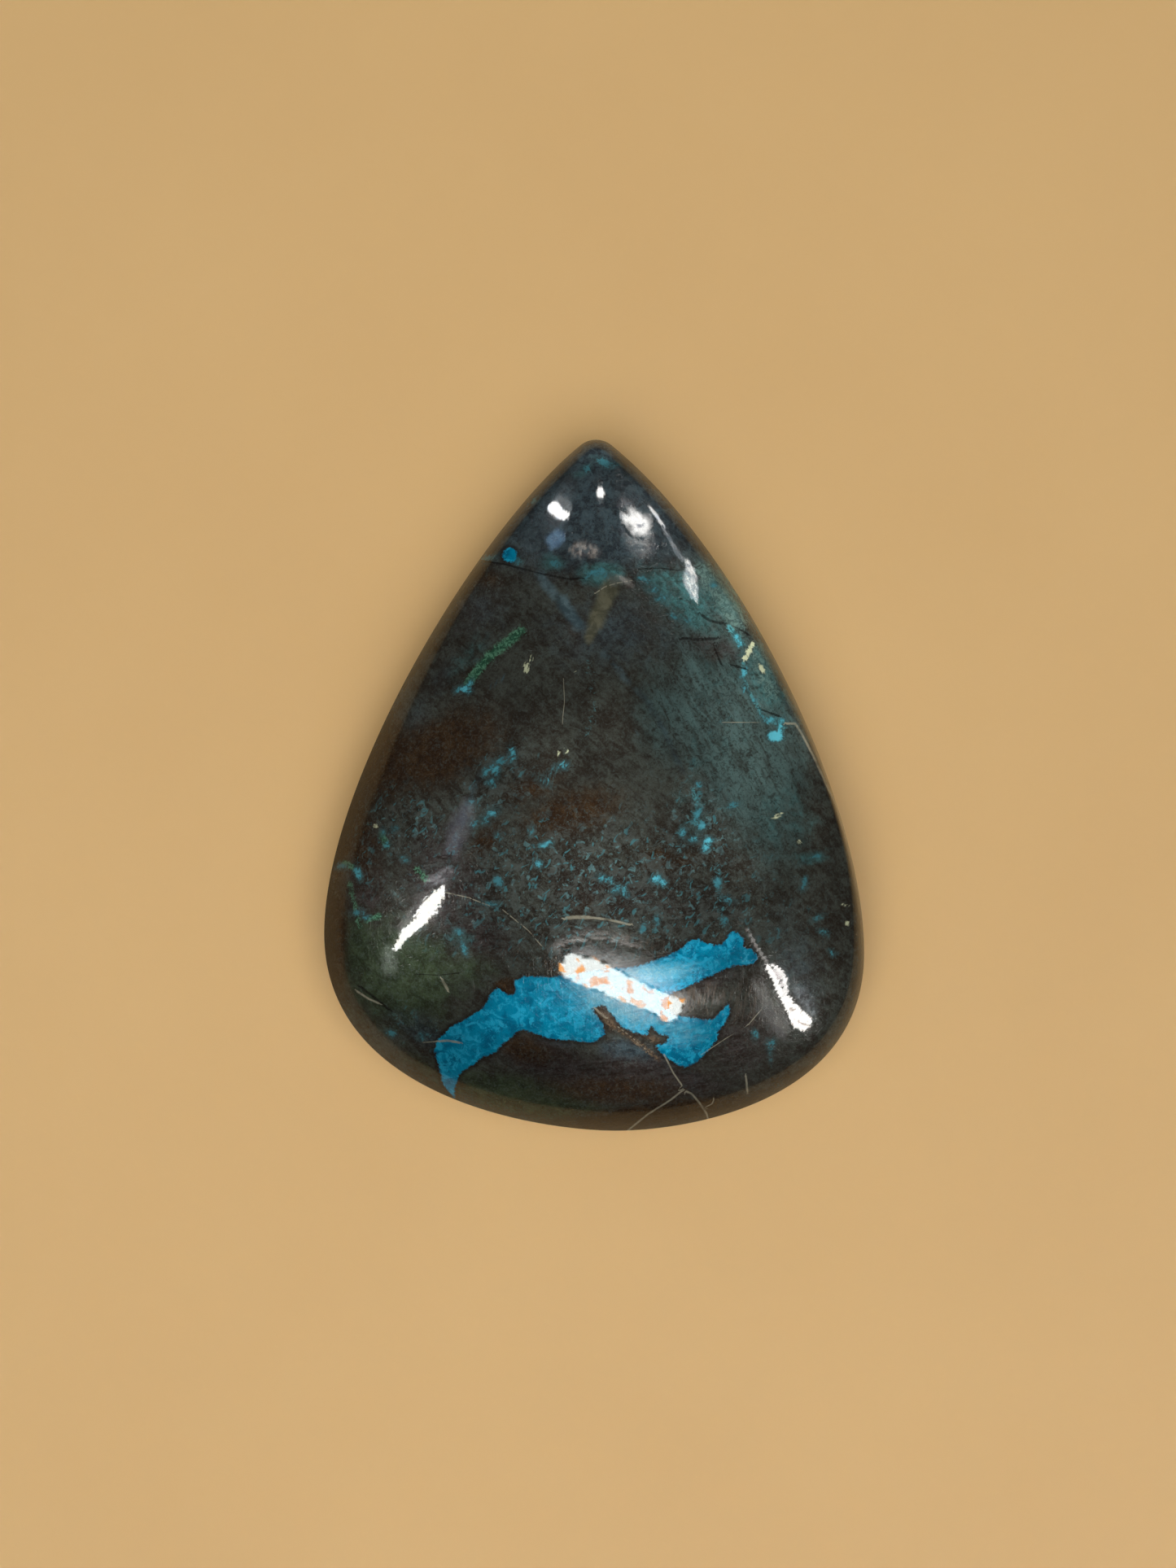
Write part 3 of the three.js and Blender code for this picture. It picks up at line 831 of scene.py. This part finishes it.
def layBand(b, made):
    b.lay(paint["wormDark"], b.shown("bandBorder", b.ragged("bandBorder", made["grain"], "bandDepth")))
    blue = twoToned(b, "azurite", made["mottle"])
    blue = b.blend(b.shown("azuriteBright", made["patchy"]), blue, paint["azuriteBright"])
    # painted glare over the band beside the front glint
    paintedGlare = b.shown("azuritePale", b.ragged("azuritePale", made["smear"], "paintedGlareOnAzurite"))
    blue = b.blend(paintedGlare, blue, twoToned(b, "azuritePale", made["grain"]))
    b.lay(blue, b.shown("band", b.ragged("band", made["grain"], "bandDepth")))


def layVeins(b, made):
    b.lay(paint["cream"], b.shown("cream", b.ragged("cream", made["grain"], "creamDepth")))
    paleShare = b.mathNode("ADD", b.shown("veinPale", made["mottle"]), leastPaleVein)
    for name, colour, share in (("dark", "veinDark", darkVeinShare), ("pale", "veinPale", paleShare)):
        off = b.mathNode("ABSOLUTE", b.attribute(name + "Side"))
        off = b.timesPlus(made["grain"], raggedness["vein"], off)
        near = b.shown("veinNear", b.attribute(name + "Near"), share)
        b.lay(paint[colour], b.shown("veinLine", off, near))


def layPolish(b):  # a clear gloss, with fine scratches of the polishing wheel in four directions
    marks = 0
    for turn in polish["markTurns"]:
        marks = b.mathNode("ADD", marks, b.step(b.noise(*polish["marks"], turn), *polish["markEdge"]))
    bump = b.node("ShaderNodeBump")
    bump.inputs["Distance"].default_value = polish["markDepth"] * mm
    b.feed(bump.inputs["Height"], marks)
    b.feed(b.shader.inputs["Normal"], bump.outputs["Normal"])
    smooth, marked = polish["roughness"]
    worn = b.step(marks, polish["fewMarks"], polish["manyMarks"])
    b.feed(b.shader.inputs["Roughness"], b.timesPlus(worn, marked - smooth, smooth))
    b.shader.inputs["Specular IOR Level"].default_value = polish["level"]
    b.shader.inputs["Coat Weight"].default_value = polish["coat"]
    b.shader.inputs["Coat Roughness"].default_value = polish["coatRoughness"]


def makeStoneMaterial():
    b = Bench("polishedAzurite")
    made = makeTextures(b)
    for layKind in (layRock, laySpeckles, layStreaks, layFlecks, layBand, layVeins):
        layKind(b, made)
    # the colour times the zones' factor, which paints light and shade along with the rock's tone
    brightness = b.mathNode("ADD", b.attribute("paintedLightAndPaleness"), markings["brightness"])
    b.feed(b.shader.inputs["Base Color"], b.blend(1, b.colour, brightness, "MULTIPLY"))
    layPolish(b)
    return b.material


cabochon.data.materials.clear()
cabochon.data.materials.append(makeStoneMaterial())
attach(cabochon, "root")
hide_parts("azurite_stone")
print("stone finished")


table = {
    "size": 3.0,  # metres
    "drop": 0.02,  # mm below the stone
    "colour": tone(224, 186, 126),
    "colourDark": tone(216, 177, 118),
    "blot": (30, 3),  # mm across, and its detail
    "roughness": 0.7,
}


def addPlane(name, size, place):
    bpy.ops.object.select_all(action="DESELECT")
    bpy.ops.mesh.primitive_plane_add(size=size, location=place)
    plane = bpy.context.object
    plane.name = name
    return plane


def makeTable():
    top = addPlane("table", table["size"], (0, 0, -table["drop"] * mm))
    b = Bench("paleTable")
    colour = b.blend(b.noise(*table["blot"]), table["colour"], table["colourDark"])
    b.feed(b.shader.inputs["Base Color"], colour)
    b.shader.inputs["Roughness"].default_value = table["roughness"]
    top.data.materials.append(b.material)
    print("table laid")


makeTable()


# The dark card lies on the table, and only the stone's polish sees it. The rim mirrors the table
# near the stone, and less of it far away. Sizes are in metres.
darkCard = {
    "place": (0.015, -0.015, 0.0005),
    "size": 2.9,
    "clear": 0.055,  # from its middle, nothing is hidden up to here
    "full": 0.13,  # and from here on the full share is
    "share": 0.85,
}


def finishWith(b, shader):
    b.tree.nodes.remove(b.shader)
    b.feed(b.tree.nodes["Material Output"].inputs["Surface"], shader.outputs[0])


def makeDarkCard():
    card = addPlane("darkCard", darkCard["size"], darkCard["place"])
    card.visible_camera = False
    card.visible_diffuse = False
    card.visible_shadow = False
    b = Bench("darkCard")
    away = b.node("ShaderNodeVectorMath", operation="LENGTH")
    b.feed(away.inputs[0], b.place)
    hidden = b.step(away.outputs["Value"], darkCard["clear"], darkCard["full"])
    mix = b.node("ShaderNodeMixShader")
    black = b.node("ShaderNodeEmission")
    black.inputs["Strength"].default_value = 0
    b.feed(mix.inputs[0], b.times(hidden, darkCard["share"]))
    b.feed(mix.inputs[1], b.node("ShaderNodeBsdfTransparent").outputs[0])
    b.feed(mix.inputs[2], black.outputs[0])
    finishWith(b, mix)
    card.data.materials.append(b.material)


makeDarkCard()


# Each light panel is the mirror image of a glint: the glint's run over the crown, as x, y and
# width in mm from the viewpoint, is thrown off the stone along its sight lines.
glints = {
    "left": {
        "run": [(-16.2, -13.5, 0.3), (-15.9, -12.9, 0.6), (-15.3, -12.1, 0.75), (-14.6, -11.4, 1),
                (-14, -10.8, 1.3), (-13.5, -10.15, 1.45), (-13.1, -9.5, 1.4), (-12.6, -8.95, 1.15),
                (-12.3, -8.4, 0.7), (-12.1, -8, 0.25)],
        "glow": 52, "soft": 0.25, "frayed": 0.5, "strokes": (1.2, 0.12),
        "tints": ((1, 0.96, 0.86), (0.95, 0.97, 0.95)),
    },
    "leftUpper": {
        "run": [(-14, -8, 0.4), (-13.3, -7.8, 1.3), (-12.5, -7.5, 1.8), (-11.8, -7, 1.4),
                (-11.3, -6.6, 0.5)],
        "glow": 9, "reach": 0.55, "soft": 0.8, "frayed": 0.5, "strokes": (1.4, 0.35),
        "tints": ((0.95, 0.95, 1), (0.12, 0.12, 0.14)),
    },
    "leftWindow": {
        "run": [(-11.7, -6.2, 1.4), (-11.4, -4.8, 2.4), (-11, -3.6, 2.7), (-10.5, -2.4, 2.4),
                (-10, -0.8, 1)],
        "glow": 2.8, "reach": 0.6, "soft": 0.9, "frayed": 0.3, "strokes": (1.6, 0.6),
        "tints": ((0.68, 0.74, 1), (0.85, 0.84, 0.95)),
    },
    "leftFan": {
        "run": [(-16.3, -12.6, 0.6), (-16.6, -13.5, 1.9), (-16.6, -14.6, 2.3), (-16.4, -15.7, 1.4)],
        "glow": 6.5, "reach": 0.6, "soft": 1, "frayed": 0.9, "strokes": (1.4, 0.12),
        "tints": ((0.9, 1, 0.92), (0.3, 0.35, 0.3)),
    },
    "leftBrush": {
        "run": [(-15.9, -12.6, 0.8), (-15.2, -11.7, 2.4), (-14.4, -10.9, 3.2), (-13.6, -9.9, 3.2),
                (-12.8, -8.9, 2.4), (-12.3, -8.2, 1)],
        "glow": 9, "reach": 0.62, "soft": 0.9, "frayed": 0.5, "strokes": (1.8, 0.16),
        "tints": ((1, 0.98, 0.95), (0.08, 0.08, 0.1)),
    },
    "front": {
        "run": [(-2.7, -14.3, 1.5), (-1.9, -14.65, 2.3), (-0.45, -15.15, 2.6), (1.45, -15.95, 2.5),
                (2.6, -16.5, 2.3), (3.65, -17.05, 2.1), (4.5, -17.4, 2.1), (5.4, -17.75, 2.2),
                (6.3, -18.15, 2.2), (7.1, -18.5, 2.2)],
        "glow": 42, "soft": 0.25, "frayed": 0.25, "strokes": (1.1, 0.9), "mixed": (0.55, 0.6),
        "tints": ((0.92, 0.98, 0.95), (1, 0.42, 0.1)),
    },
    "frontHaze": {
        "run": [(-2.9, -13.8, 1.6), (-1.2, -14.5, 4.2), (0.8, -15.3, 5.6), (2.8, -16.2, 6.2),
                (4.8, -17.1, 5.4), (6.8, -18, 3.8), (8.4, -18.7, 1.6)],
        "glow": 20, "reach": 0.6, "soft": 1, "frayed": 0.4, "strokes": (0.6, 0.4),
        "tints": ((1, 1, 1), (0.4, 0.4, 0.4)),
    },
    "frontBrush": {
        "run": [(-3.8, -13.8, 0.8), (-2.6, -13, 2.2), (-0.8, -12.6, 3), (1.2, -12.7, 3.2),
                (3.2, -13.3, 2.4), (4.8, -14.2, 0.8)],
        "glow": 9, "reach": 0.62, "soft": 0.9, "frayed": 0.5, "strokes": (1.5, 0.2),
        "tints": ((1, 0.94, 0.88), (0.1, 0.1, 0.1)),
    },
    "frontStripes": {
        "run": [(6.4, -17.5, 0.8), (7.5, -17.2, 2), (8.8, -17.2, 2.2), (10.2, -17.3, 1.4),
                (10.9, -17.4, 0.4)],
        "glow": 4.2, "reach": 0.62, "soft": 0.8, "frayed": 0.4, "strokes": (0.2, 2),
        "tints": ((1, 0.94, 0.9), (0.02, 0.02, 0.02)),
    },
    "right": {
        "run": [(15.3, -17, 0.5), (15.6, -17.4, 0.95), (16, -18, 1.1), (16.35, -18.6, 1.3),
                (16.8, -19.1, 1.6), (17.2, -19.4, 1.3), (17.45, -19.6, 0.6)],
        "glow": 58, "soft": 0.2, "frayed": 0.4, "strokes": (0.9, 0.3), "mixed": (0.56, 0.62),
        "tints": ((1, 0.98, 0.93), (0.45, 0.38, 0.34)),
    },
    "rightInner": {
        "run": [(13.9, -14.4, 0.35), (14.25, -15, 0.5), (14.6, -15.6, 0.5), (14.95, -16.4, 0.55),
                (15.2, -17, 0.6), (15.5, -17.5, 0.5)],
        "glow": 56, "soft": 0.4, "frayed": 0.2, "tints": ((1, 0.98, 0.93), (0.9, 0.88, 0.85)),
    },
    "rightOuter": {
        "run": [(14.3, -14.5, 0.2), (14.7, -14.75, 0.4), (15.1, -15.1, 0.5), (15.4, -15.6, 0.5),
                (15.5, -16.3, 0.45), (15.5, -17, 0.45), (15.8, -17.6, 0.5)],
        "glow": 52, "soft": 0.5, "frayed": 0.2, "tints": ((1, 0.96, 0.92), (0.8, 0.78, 0.75)),
    },
    "rightWash": {
        "run": [(14.5, -14.8, 0.6), (15, -15.5, 1.1), (15.3, -16.4, 1), (15.5, -17.2, 0.5)],
        "glow": 36, "reach": 0.6, "soft": 0.3, "tints": ((1, 0.9, 0.9), (0.7, 0.62, 0.62)),
    },
    "rightFaint": {
        "run": [(12.4, -11.6, 0.15), (12.9, -12.6, 0.3), (13.5, -13.6, 0.35), (14, -14.4, 0.5)],
        "glow": 9, "soft": 0.6, "frayed": 0.6, "strokes": (1, 0.15),
        "tints": ((1, 0.98, 0.95), (1, 0.9, 0.85)),
    },
    "rightHaze": {
        "run": [(13, -15.4, 0.8), (13.6, -16.8, 2.4), (14.3, -18.2, 3), (15.2, -19.6, 2.2),
                (15.8, -20.8, 0.6)],
        "glow": 5, "reach": 0.6, "soft": 1, "frayed": 0.6, "strokes": (2, 0.4),
        "tints": ((1, 0.97, 0.9), (0.6, 0.6, 0.6)),
    },
    "rightBrush": {
        "run": [(15.9, -16, 0.4), (16.5, -16.7, 1.6), (17.2, -17.6, 2), (17.6, -18.5, 1.5),
                (17.7, -19.4, 0.5)],
        "glow": 7, "reach": 0.62, "soft": 1, "frayed": 0.6, "strokes": (0.9, 0.3), "strokeTurn": -30,
        "tints": ((0.8, 0.92, 1), (0.1, 0.1, 0.12)),
    },
    "tipLeft": {
        "run": [(-3.6, 22.85, 0.5), (-3.35, 22.6, 1.1), (-3, 22.25, 1.1), (-2.7, 22, 0.9),
                (-2.35, 21.9, 0.85), (-2, 21.8, 0.4)],
        "glow": 60, "soft": 0.2, "frayed": 0.2, "tints": ((1, 0.98, 0.94), (0.9, 0.94, 1)),
    },
    "tipLeftShade": {
        "run": [(-3, 23.6, 0.3), (-2.8, 23.1, 1.1), (-2.3, 22.6, 1.4), (-1.9, 22, 0.6)],
        "glow": 5, "reach": 0.6, "soft": 0.5, "frayed": 0.4, "strokes": (0.6, 0.25),
        "tints": ((1, 0.98, 0.94), (0.7, 0.75, 0.8)),
    },
    "tip": {
        "run": [(0.5, 23.3, 0.3), (0.5, 23.55, 0.7), (0.52, 23.85, 0.65), (0.57, 24.15, 0.3)],
        "glow": 58, "soft": 0.2, "tints": ((1, 0.98, 0.94), (1, 0.98, 0.94)),
    },
    "tipRight": {
        "run": [(2.2, 22.3, 0.8), (2.7, 21.95, 1.8), (3.2, 21.55, 2.3), (3.7, 21.2, 2.5),
                (4.2, 20.95, 2.3), (4.6, 20.8, 1.5), (4.95, 20.7, 0.6)],
        "glow": 46, "soft": 0.8, "frayed": 0.5, "strokes": (1.3, 0.7), "mixed": (0.58, 0.72),
        "tints": ((1, 0.98, 0.94), (0.3, 0.3, 0.33)),
    },
    "tipRightHaze": {
        "run": [(2.4, 22, 0.6), (3, 20.8, 2.4), (3.7, 19.8, 3), (4.3, 19, 2.6), (4.8, 18.3, 1)],
        "glow": 8, "reach": 0.6, "soft": 0.8, "frayed": 0.5, "strokes": (0.8, 1.2), "strokeTurn": -30,
        "tints": ((1, 0.98, 0.94), (0.2, 0.2, 0.22)),
    },
    "tipRightShade": {
        "run": [(1.7, 22.9, 0.4), (2.2, 22.9, 1.4), (2.8, 22.6, 1.7), (3.4, 22.2, 0.8)],
        "glow": 5, "reach": 0.6, "soft": 0.9, "frayed": 0.5, "tints": ((1, 0.92, 0.92), (0.5, 0.46, 0.48)),
    },
    "tipPink": {
        "run": [(1.9, 17, 0.2), (2.4, 16.7, 0.7), (2.9, 16.3, 0.8), (3.4, 16.1, 0.2)],
        "glow": 5, "reach": 0.6, "soft": 0.7, "frayed": 0.5, "tints": ((1, 0.9, 0.84), (0.5, 0.45, 0.42)),
    },
    "tipStreak": {
        "run": [(-1.35, 19.5, 0.12), (-1.2, 19.1, 0.28), (-1.1, 18.6, 0.16)],
        "glow": 9, "soft": 0.6, "tints": ((1, 0.92, 0.84), (1, 0.92, 0.84)),
    },
    "flank": {
        "run": [(7.3, 18.5, 0.2), (7.6, 18, 0.5), (7.75, 17.5, 0.85), (7.8, 17, 1.25), (7.8, 16.5, 1.3),
                (7.95, 16, 1.15), (8.05, 15.6, 0.85), (8.2, 15.1, 0.5), (8.4, 14.7, 0.12)],
        "glow": 38, "soft": 0.4, "frayed": 0.6, "strokes": (0.5, 0.3),
        "tints": ((1, 0.98, 0.92), (0.3, 0.32, 0.35)),
    },
    "flankLine": {
        "run": [(4.3, 22.7, 0.1), (4.6, 22.4, 0.24), (5, 21.9, 0.32), (5.4, 21.3, 0.28), (5.8, 20.8, 0.14)],
        "glow": 34, "soft": 0.5, "tints": ((1, 0.98, 0.94), (0.9, 0.94, 1)),
    },
    "flankDim": {
        "run": [(5.4, 21.1, 0.15), (5.85, 20.4, 0.3), (6.3, 19.6, 0.4), (6.8, 18.8, 0.5),
                (7.3, 18.1, 0.45)],
        "glow": 10, "soft": 0.7, "frayed": 0.5, "tints": ((0.95, 0.98, 1), (0.4, 0.45, 0.5)),
    },
    "tipBlue": {
        "run": [(-3.9, 19.2, 0.5), (-3.6, 19.5, 1.4), (-3.1, 20, 1.7), (-2.7, 20.4, 1.4),
                (-2.4, 20.6, 0.5)],
        "glow": 10, "soft": 0.6, "frayed": 0.4, "strokes": (0.6, 1),
        "tints": ((0.26, 0.5, 0.78), (0.18, 0.34, 0.56)),
    },
    "tipBrown": {
        "run": [(-2.1, 18.6, 0.5), (-1.6, 19, 1.7), (-1, 19.1, 1.9), (-0.4, 19.1, 1.5), (0.2, 18.8, 1.4),
                (0.6, 18.5, 0.5)],
        "glow": 10, "soft": 0.8, "frayed": 0.5, "strokes": (0.5, 0.5),
        "tints": ((1, 0.85, 0.72), (0.14, 0.12, 0.12)),
    },
}
panel = {
    "reach": 0.5,  # metres from the stone, where a glint names none
    "rows": 40,
    "columns": 13,
    "soft": 0.08,
    "frayed": 0.1,
    "fraying": 3,  # half widths that a wholly frayed edge takes up
    "strokes": (0.8, 0.5),
    "strokeTexture": (2, 0.5, 0.4),  # detail, roughness and distortion
    "mixed": (0.45, 0.58),
    "strokeTurn": 0,
}
softBox = {"size": 2.0, "power": 27, "colour": (1.0, 0.97, 0.92), "place": (0.05, -0.4, 1.3)}
sky = {  # brightness at each height, from level to straight up
    "levels": ((0.15, 0.07), (0.55, 0.04), (0.95, 0.045)),
    "colour": (1.0, 0.95, 0.88),
}


def stoneSurface():
    corners = [vertex.co for vertex in cabochon.data.vertices]
    return BVHTree.FromPolygons(corners, [tuple(face.vertices) for face in cabochon.data.polygons])


surface = stoneSurface()


def thrown(x, y, reach):  # where the sight line through x, y ends, once the stone has mirrored it
    eye = eyePoint()
    sight = (Vector((x, y, stone["girdleHeight"])) * mm - eye).normalized()
    hit, normal, *_ = surface.ray_cast(eye, sight)
    return hit + sight.reflect(normal) * reach


def resampled(run, rows):
    reach = np.concatenate([[0], np.cumsum(np.hypot(*np.diff(run[:, :2], axis=0).T))])
    along = np.linspace(0, reach[-1], rows)
    return along, np.stack([np.interp(along, reach, run[:, k]) for k in range(3)], axis=1)


def makePanelMesh(name, glint):  # a strip that keeps its corners' places in the glint
    rows, columns = panel["rows"], panel["columns"]
    along, run = resampled(np.array(glint["run"]), rows)
    heading = np.gradient(run[:, :2], axis=0)
    heading /= np.hypot(heading[:, 0], heading[:, 1])[:, None]
    sideways = np.column_stack([-heading[:, 1], heading[:, 0]])
    sides = np.linspace(-1, 1, columns)
    off = run[:, 2:] / 2 * sides
    places = run[:, None, :2] + sideways[:, None] * off[..., None]
    corners = [thrown(x, y, glint["reach"]) for x, y in places.reshape(-1, 2)]
    firsts = [row * columns + column for row in range(rows - 1) for column in range(columns - 1)]
    faces = [(first, first + 1, first + columns + 1, first + columns) for first in firsts]
    mesh = bpy.data.meshes.new(name)
    mesh.from_pydata(corners, [], faces)

    drawn = np.column_stack([np.repeat(along, columns), off.ravel(), np.zeros(len(corners))])
    fromEnds = np.minimum(along, along[-1] - along) / (run[:, 2].max() / 2)
    keepOnMesh(mesh, "drawn", drawn)
    keepOnMesh(mesh, "inward", np.minimum(fromEnds[:, None], 1 - np.abs(sides)).ravel())
    return mesh


def makePanelMaterial(name, glint):  # brushed strokes of two tints, with a frayed or soft edge
    b = Bench(name)
    drawn = b.attribute("drawn", "Vector")
    size = (*glint["strokes"], 1)
    strokes = b.noise(size, *glint["strokeTexture"], glint["strokeTurn"], drawn, unit=1)
    tints = [(*tint, 1) for tint in glint["tints"]]
    frayed = glint["fraying"] * glint["frayed"]
    inward = b.timesPlus(strokes, frayed, b.attribute("inward"))
    faded = b.step(inward, frayed / 2, frayed / 2 + glint["soft"])
    emission = b.node("ShaderNodeEmission")
    b.feed(emission.inputs["Color"], b.blend(b.step(strokes, *glint["mixed"]), *tints))
    b.feed(emission.inputs["Strength"], b.times(faded, glint["glow"]))
    finishWith(b, emission)
    return b.material


def makePanel(name, glint):
    glint = {**panel, **glint}
    mesh = makePanelMesh(name, glint)
    mesh.materials.append(makePanelMaterial(name, glint))
    holder = bpy.data.objects.new(name, mesh)
    bpy.context.collection.objects.link(holder)
    holder.visible_camera = False
    holder.visible_diffuse = False


def makeSoftBox():
    light = bpy.data.lights.new("softBox", "AREA")
    light.size = softBox["size"]
    light.energy = softBox["power"]
    light.color = softBox["colour"]
    holder = bpy.data.objects.new("softBox", light)
    holder.location = softBox["place"]
    holder.rotation_euler = Vector(softBox["place"]).to_track_quat("Z", "Y").to_euler()
    holder.visible_glossy = False
    bpy.context.collection.objects.link(holder)


def makeSky():
    world = bpy.data.worlds.new("studio")
    world.use_nodes = True
    nodes, links = world.node_tree.nodes, world.node_tree.links
    place = nodes.new("ShaderNodeTexCoord")
    split = nodes.new("ShaderNodeSeparateXYZ")
    level = nodes.new("ShaderNodeValToRGB")
    elements = level.color_ramp.elements
    elements.new(0.5)
    for element, (height, brightness) in zip(elements, sky["levels"]):
        element.position = height
        element.color = (brightness, brightness, brightness, 1)
    background = nodes["Background"]
    background.inputs["Color"].default_value = (*sky["colour"], 1)
    links.new(place.outputs["Generated"], split.inputs[0])
    links.new(split.outputs["Z"], level.inputs["Fac"])
    links.new(level.outputs["Color"], background.inputs["Strength"])
    bpy.context.scene.world = world


for name, glint in glints.items():
    makePanel(name + "Panel", glint)
makeSoftBox()
makeSky()
print("light set,", len(glints), "panels")
